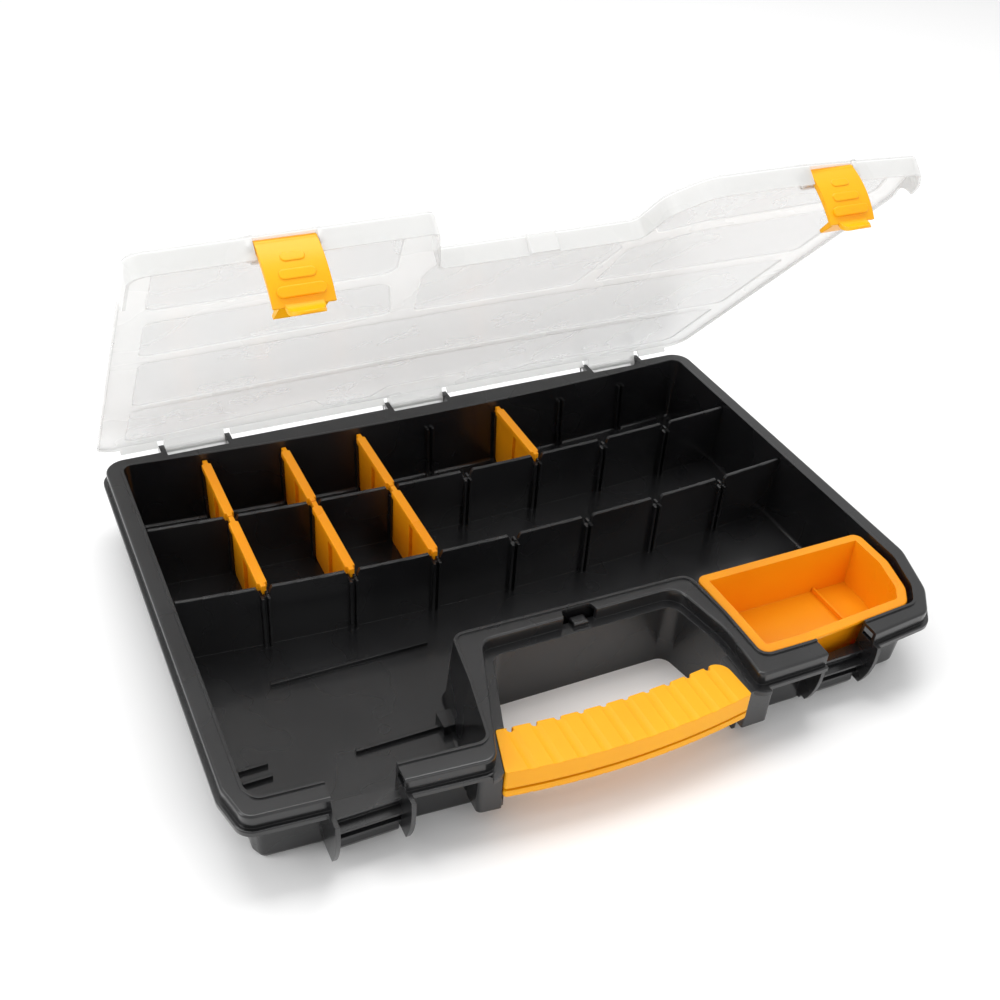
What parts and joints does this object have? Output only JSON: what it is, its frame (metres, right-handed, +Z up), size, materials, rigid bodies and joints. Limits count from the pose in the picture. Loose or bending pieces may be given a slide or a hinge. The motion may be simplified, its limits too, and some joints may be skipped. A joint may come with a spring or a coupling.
{
  "type": "toolbox with tray",
  "caption": "Flat tool and organiser case with a hinged translucent snap-latch lid, a carrying handle, removable dividers and a lift-out tray.",
  "frame": {"origin": "on the table under the middle of the case, at the underside face", "axes": "+X to the user's right along the hinge axis, +Y from the handle towards the hinges, +Z up"},
  "size_m": [0.44, 0.3407, 0.2918],
  "materials": {
    "case_black": "glossy black polypropylene",
    "lid_clear": "translucent milky polypropylene",
    "latch_yellow": "satin yellow polypropylene",
    "grip_yellow": "satin yellow polypropylene",
    "tray_orange": "orange-yellow polypropylene",
    "pin_steel": "bright wire"
  },
  "bodies": {
    "case": {"base_case": "case_black", "grip_upper": "grip_yellow", "grip_lower": "grip_yellow", "hinge_pin_left": "pin_steel", "hinge_pin_middle": "pin_steel", "hinge_pin_right": "pin_steel"},
    "lid": {"lid": "lid_clear", "latch_pin_left": "pin_steel", "latch_pin_right": "pin_steel"},
    "latch_left": {"latch_left": "latch_yellow"},
    "latch_right": {"latch_right": "latch_yellow"},
    "tray": {"tray": "tray_orange"},
    "divider_back_1": {"divider_back_1": "tray_orange"},
    "divider_back_2": {"divider_back_2": "tray_orange"},
    "divider_back_3": {"divider_back_3": "tray_orange"},
    "divider_back_4": {"divider_back_4": "tray_orange"},
    "divider_middle_1": {"divider_middle_1": "tray_orange"},
    "divider_middle_2": {"divider_middle_2": "tray_orange"},
    "divider_middle_3": {"divider_middle_3": "tray_orange"}
  },
  "joints": [
    {"name": "lid_hinge", "type": "hinge", "parent": "case", "child": "lid", "pos_m": [0, 0.1665, 0.045], "axis": [-1, 0, 0], "range_deg": [-47, 133]},
    {"name": "latch_left_hinge", "type": "hinge", "parent": "lid", "child": "latch_left", "pos_m": [-0.1525, -0.05371, 0.28525], "axis": [-1, 0, 0], "range_deg": [0, 70]},
    {"name": "latch_right_hinge", "type": "hinge", "parent": "lid", "child": "latch_right", "pos_m": [0.1335, -0.05132, 0.28269], "axis": [-1, 0, 0], "range_deg": [0, 70]},
    {"name": "tray_lift", "type": "slide", "parent": "case", "child": "tray", "axis": [0, 0, 1], "range_m": [0, 0.06]},
    {"name": "divider_back_1_lift", "type": "slide", "parent": "case", "child": "divider_back_1", "axis": [0, 0, 1], "range_m": [0, 0.02]},
    {"name": "divider_back_2_lift", "type": "slide", "parent": "case", "child": "divider_back_2", "axis": [0, 0, 1], "range_m": [0, 0.02]},
    {"name": "divider_back_3_lift", "type": "slide", "parent": "case", "child": "divider_back_3", "axis": [0, 0, 1], "range_m": [0, 0.02]},
    {"name": "divider_back_4_lift", "type": "slide", "parent": "case", "child": "divider_back_4", "axis": [0, 0, 1], "range_m": [0, 0.02]},
    {"name": "divider_middle_1_lift", "type": "slide", "parent": "case", "child": "divider_middle_1", "axis": [0, 0, 1], "range_m": [0, 0.045]},
    {"name": "divider_middle_2_lift", "type": "slide", "parent": "case", "child": "divider_middle_2", "axis": [0, 0, 1], "range_m": [0, 0.045]},
    {"name": "divider_middle_3_lift", "type": "slide", "parent": "case", "child": "divider_middle_3", "axis": [0, 0, 1], "range_m": [0, 0.045]}
  ]
}
